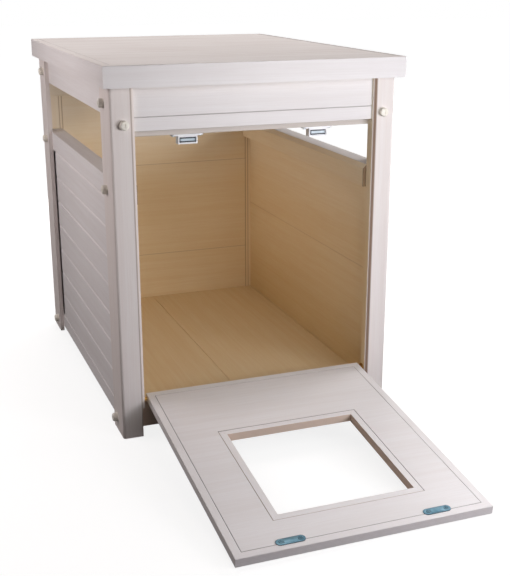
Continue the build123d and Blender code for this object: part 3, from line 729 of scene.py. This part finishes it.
def strike_plate():
    """Plate with round ends, two screw holes and a slightly raised middle."""
    shape = bmesh.new()
    bmesh.ops.create_circle(shape, segments=PLATE_SEGMENTS, radius=strike_half_width)
    bmesh.ops.rotate(shape, verts=shape.verts, matrix=Matrix.Rotation(pi / PLATE_SEGMENTS, 3, "Z"))
    for vert in shape.verts:
        vert.co.x += (1 if vert.co.x > 0 else -1) * (strike_half_length - strike_half_width)
    hole_radius = strike_screw_radius + strike_hole_gap
    for way in BOTH_WAYS:
        hole = bmesh.ops.create_circle(shape, segments=HOLE_SEGMENTS, radius=hole_radius)["verts"]
        bmesh.ops.translate(shape, vec=(way * strike_screw_offset, 0, 0), verts=hole)
    bmesh.ops.triangle_fill(shape, use_beauty=True, edges=shape.edges[:], normal=Z_AXIS)
    push_out(shape, shape.faces[:], strike_thickness)
    bmesh.ops.recalc_face_normals(shape, faces=shape.faces)
    sharp = [edge for edge in shape.edges if edge.is_manifold and edge.calc_face_angle() > RIM_ANGLE]
    rim = [edge for edge in sharp if all(vert.co.z > strike_thickness / 2 for vert in edge.verts)]
    round_off(shape, rim, strike_rim_round, PLATE_STEPS)
    pad = bmesh.ops.create_cube(shape, size=1.0)["verts"]
    bmesh.ops.scale(shape, vec=(strike_pad_length, strike_pad_width, strike_pad_height), verts=pad)
    pad_middle = strike_thickness + strike_pad_rise - strike_pad_height / 2
    bmesh.ops.translate(shape, vec=(0, 0, pad_middle), verts=pad)
    pad_edges = {edge for vert in pad for edge in vert.link_edges}
    round_off(shape, list(pad_edges), strike_pad_round, PLATE_STEPS)
    return shape


def seat(place, up, out):
    """Placing of a piece: its +Y turned to up and its +Z to out, at a place."""
    turn = Matrix((up.cross(out), up, out)).transposed().to_4x4()
    return Matrix.Translation(place) @ turn


def set_out(name, shape, seats, body, slot, node, finish=None):
    """Copies of a shape at their seats, as one piece that stands for a node."""
    mesh = bpy.data.meshes.new(name)
    shape.to_mesh(mesh)
    shape.free()
    copies = bmesh.new()
    for place in seats:
        placed = mesh.copy()
        placed.transform(place)
        copies.from_mesh(placed)
        bpy.data.meshes.remove(placed)
    copies.to_mesh(mesh)
    copies.free()
    for polygon in mesh.polygons:
        polygon.use_smooth = True
    mesh.set_sharp_from_angle(angle=SHARP_ANGLE)
    piece = bpy.data.objects.new(name, mesh)
    scene.collection.objects.link(piece)
    set_material(piece, finish or HARDWARE[slot])
    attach(piece, body)
    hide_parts(node)


for side_name, side in SIDES.items():
    seats = [
        seat((side * half_span_x, y, z), Z_AXIS, side * X_AXIS)
        for y in (front_y + side_bolt_inset, rear_y - side_bolt_inset)
        for z in side_bolt_heights
    ]
    node = f"{side_name}_side_bolts"
    set_out(f"round_{node}", slotted_bolt(side_shank_length), seats, "cabinet", "bolt_plastic", node)

for end_name, end, y in (("front", -1, front_y), ("rear", 1, rear_y)):
    seats = [
        seat((side * (half_span_x - stile_bolt_inset), y, stile_bolt_height), Z_AXIS, end * Y_AXIS)
        for side in SIDES.values()
    ]
    node = f"{end_name}_stile_bolts"
    set_out(f"round_{node}", slotted_bolt(stile_shank_length), seats, "cabinet", "bolt_plastic", node)

strike_middle = pivot - strike_reach * to_hinge + half_door_thickness * door_up
for side_name, side in SIDES.items():
    seats = [seat(strike_middle + side * catch_x * X_AXIS, to_hinge, door_up)]
    node = f"{side_name}_strike_plate"
    set_out(f"pressed_{node}", strike_plate(), seats, "door", "zinc", node)

strike_screw_seats = [
    seat(strike_middle + (side * catch_x + way * strike_screw_offset) * X_AXIS, to_hinge, door_up)
    for side in SIDES.values() for way in BOTH_WAYS
]
strike_screw = cross_screw(strike_screw_radius, strike_thickness, strike_screw_round, strike_shank_length)
set_out(
    "cross_strike_screws", strike_screw, strike_screw_seats,
    "door", "steel", "strike_screws", HARDWARE["zinc"],
)

catch_screw_seats = [
    seat((side * catch_x + way * catch_screw_offset, catch_screw_y, catch_ear_bottom), Y_AXIS, -Z_AXIS)
    for side in SIDES.values() for way in BOTH_WAYS
]
catch_screw = cross_screw(catch_screw_radius, catch_screw_height, catch_screw_round, catch_shank_length)
set_out("cross_catch_screws", catch_screw, catch_screw_seats, "cabinet", "steel", "catch_screws")


# Studio
def seen_rays(tree):
    """1 for the rays that look at the background: from the camera, off a sheen or through glass."""
    rays = tree.nodes.new("ShaderNodeLightPath")
    seen = rays.outputs["Is Camera Ray"]
    for kind in ("Is Glossy Ray", "Is Transmission Ray"):
        either = tree.nodes.new("ShaderNodeMath")
        either.operation = "MAXIMUM"
        tree.links.new(seen, either.inputs[0])
        tree.links.new(rays.outputs[kind], either.inputs[1])
        seen = either.outputs["Value"]
    return seen


def floor_finish():
    """Pale floor that shows as white and keeps a soft shadow, and bounces little light."""
    finish = Finish("pale_floor")
    seen = seen_rays(finish.tree)
    cloud = finish.noise(finish.place(), scale=3.0, detail=2.0)
    tint = finish.mix(cloud, colour(140, 139, 138), colour(134, 133, 132))
    finish.feed("Base Color", finish.mix(seen, FLOOR_BOUNCE, tint))
    finish.feed("Roughness", 0.9)
    finish.feed("Specular IOR Level", 0.0)
    reach = finish.add("ShaderNodeVectorMath", operation="LENGTH")
    finish.wire(finish.place(), reach.inputs[0])
    glow = finish.spread(reach.outputs["Value"], low=0.6, high=2.2, new_low=0.84, new_high=1.0)
    finish.feed("Emission Color", (1.0, 1.0, 1.0))
    finish.feed("Emission Strength", finish.math("MULTIPLY", seen, glow))
    return finish.material


def studio_floor():
    mesh = bpy.data.meshes.new("studio_floor")
    floor = bpy.data.objects.new("studio_floor", mesh)
    scene.collection.objects.link(floor)
    shape = bmesh.new()
    bmesh.ops.create_grid(shape, x_segments=1, y_segments=1, size=FLOOR_HALF_SIZE)
    bmesh.ops.translate(shape, vec=(0, 0, -FLOOR_DROP), verts=shape.verts)
    shape.to_mesh(mesh)
    shape.free()
    set_material(floor, floor_finish())


def studio_world():
    """White where it is looked at, and faint as a light."""
    world = bpy.data.worlds.new("studio_world")
    scene.world = world
    world.use_nodes = True
    tree = world.node_tree
    background = tree.nodes["Background"]
    background.inputs["Color"].default_value = (1, 1, 1, 1)
    strength = tree.nodes.new("ShaderNodeMapRange")
    strength.inputs["To Min"].default_value = WORLD_STRENGTH
    strength.inputs["To Max"].default_value = 1.0
    tree.links.new(seen_rays(tree), strength.inputs["Value"])
    tree.links.new(strength.outputs["Result"], background.inputs["Strength"])


def soft_box(name, place, aim, size, power, tint):
    """Square lamp that faces a point."""
    data = bpy.data.lights.new(name, "AREA")
    data.shape = "SQUARE"
    data.size = size
    data.energy = power
    data.color = tint
    lamp = bpy.data.objects.new(name, data)
    lamp.location = place
    lamp.rotation_euler = (Vector(aim) - Vector(place)).to_track_quat("-Z", "Y").to_euler()
    lamp.visible_camera = False
    scene.collection.objects.link(lamp)


def photo_camera():
    """Camera at the photograph's viewing angle."""
    data = bpy.data.cameras.new("camera")
    data.lens = CAMERA_LENS
    data.sensor_width = SENSOR_WIDTH
    data.shift_x, data.shift_y = CAMERA_SHIFT
    camera = bpy.data.objects.new("camera", data)
    camera.location = CAMERA_PLACE
    camera.rotation_euler = (pi / 2 - CAMERA_DIP, 0, -CAMERA_TURN)
    scene.collection.objects.link(camera)
    scene.camera = camera


studio_floor()
studio_world()
# Each lamp: its place, the point it faces, the side of its square, its watts and its tint
soft_box("rear_lamp", (0.3, 1.2, 2.2), (0, 0, 0.4), 1.2, 27.8, (1.027, 0.995, 0.986))
soft_box("front_lamp", (-0.5, -2.4, 0.85), (0, 0, 0.25), 0.9, 3.3, (1.08, 0.933, 0.92))
soft_box("left_lamp", (-1.4, 0.1, 0.9), (-0.1, 0.1, 0.4), 0.8, 2.45, (1.08, 0.915, 0.905))
soft_box("near_left_lamp", (-0.8, 0.2, 0.68), (-0.22, 0.1, 0.4), 0.4, 2.05, (1.07, 0.97, 0.96))
soft_box("low_right_lamp", (0.75, -1.1, 0.35), (0.15, -0.2, 0.2), 0.4, 4.4, (1.04, 0.95, 1.02))
soft_box("right_lamp", (0.9, 0.05, 0.62), (-0.1, 0.4, 0.4), 0.4, 4.5, (1.01, 0.975, 0.98))
soft_box("doorway_lamp", (0.35, -0.75, 0.41), (-0.1, 0.47, 0.42), 0.3, 1.9, (0.96, 1.01, 1.05))
soft_box("back_lamp", (0, 1.7, 0.27), (0, 0.48, 0.3), 0.5, 7.0, (1.02, 0.99, 0.985))
soft_box("header_lamp", (0.05, -0.6, 0.62), (0, 0.47, 0.42), 0.25, 0.95, (1.03, 1.0, 0.98))
photo_camera()
scene.view_settings.view_transform = "Standard"

bpy.context.view_layer.update()
